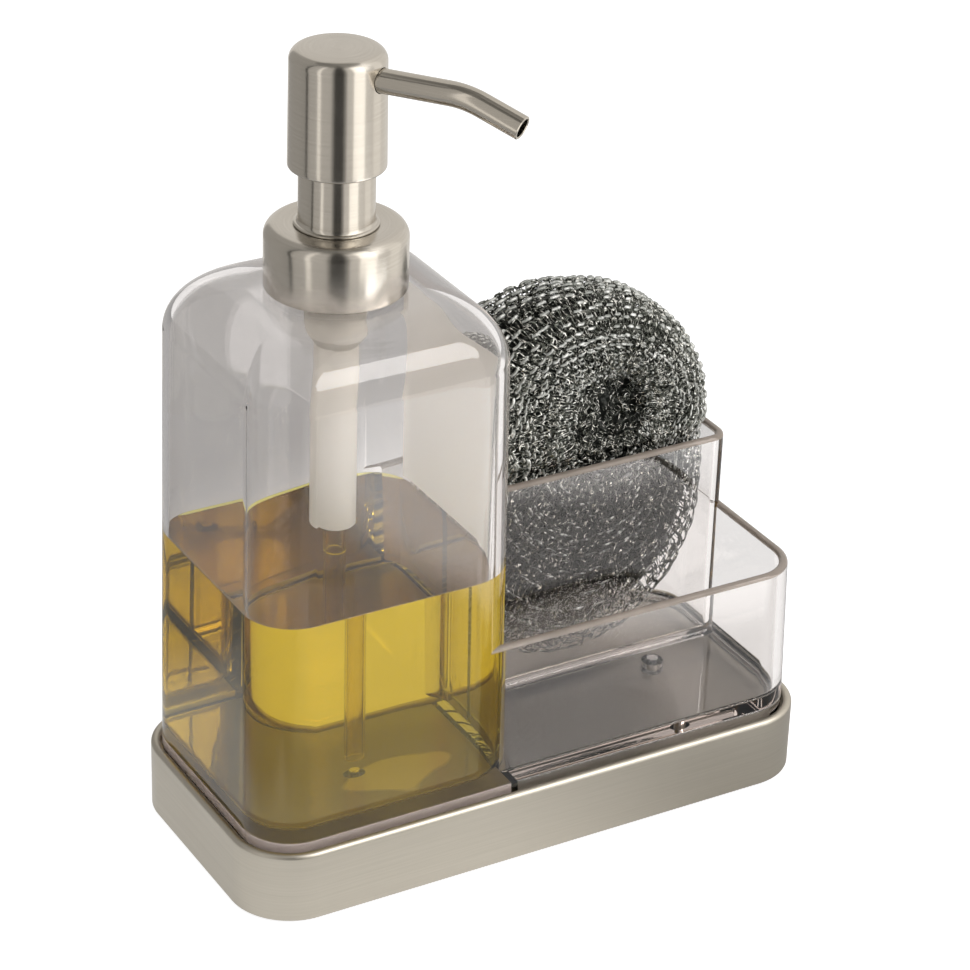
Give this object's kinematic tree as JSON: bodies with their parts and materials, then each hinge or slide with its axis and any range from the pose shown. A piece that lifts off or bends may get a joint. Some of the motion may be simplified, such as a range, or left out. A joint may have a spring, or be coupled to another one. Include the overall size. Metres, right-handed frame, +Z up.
{
  "type": "soap pump caddy",
  "caption": "Clear countertop caddy with a soap bottle and press pump, a low tray, a tall rear compartment holding a knitted steel scourer, and a steel base.",
  "frame": {"origin": "centre of the underside of the rubber pad, on the surface that the caddy stands on", "axes": "+X along the long side from the bottle towards the tray, +Y towards the tall rear compartment, +Z up"},
  "size_m": [0.174, 0.0847, 0.2266],
  "materials": {
    "brushed_steel": "satin brushed",
    "polished_steel": "fine polished",
    "clear_plastic": "clear gloss",
    "frosted_plastic": "translucent satin",
    "white_plastic": "satin",
    "dark_plastic": "matte",
    "rubber": "matte",
    "spring_steel": "bright",
    "soap": "liquid",
    "scourer_steel": "knitted wire"
  },
  "bodies": {
    "caddy": {"base_tray": "brushed_steel", "base_plate": "dark_plastic", "base_pad": "rubber", "base_screws": "spring_steel", "clear_body": "clear_plastic", "soap": "soap"},
    "pump": {"neck_gasket": "white_plastic", "chamber": "frosted_plastic", "chamber_cap": "white_plastic", "ball_cage": "white_plastic", "dip_tube": "frosted_plastic", "return_spring": "spring_steel"},
    "inlet_ball": {"inlet_ball": "spring_steel"},
    "collar": {"collar_shell": "polished_steel", "collar_nut": "white_plastic", "sleeve": "polished_steel"},
    "plunger": {"piston": "white_plastic", "piston_seal": "rubber", "stem": "white_plastic"},
    "head": {"head_shell": "polished_steel", "head_core": "white_plastic", "spout": "polished_steel"},
    "scourer": {"scourer": "scourer_steel"}
  },
  "joints": [
    {"name": "pump_lift", "type": "slide", "parent": "caddy", "child": "pump", "axis": [0, 0, 1], "range_m": [0, 0.155]},
    {"name": "ball_lift", "type": "slide", "parent": "pump", "child": "inlet_ball", "axis": [0, 0, 1], "range_m": [0, 0.0012]},
    {"name": "collar_turn", "type": "hinge", "parent": "pump", "child": "collar", "pos_m": [-0.04575, 0, 0.17], "axis": [0, 0, 1], "continuous": true},
    {"name": "pump_press", "type": "slide", "parent": "pump", "child": "plunger", "axis": [0, 0, -1], "range_m": [0, 0.014], "stiffness_N_per_m": 350, "springref_m": -0.012, "deforming": ["return_spring"]},
    {"name": "head_turn", "type": "hinge", "parent": "plunger", "child": "head", "pos_m": [-0.04575, 0, 0.21], "axis": [0, 0, 1], "continuous": true},
    {"name": "scourer_lift", "type": "slide", "parent": "caddy", "child": "scourer", "axis": [0, 0, 1], "range_m": [0, 0.12]}
  ]
}
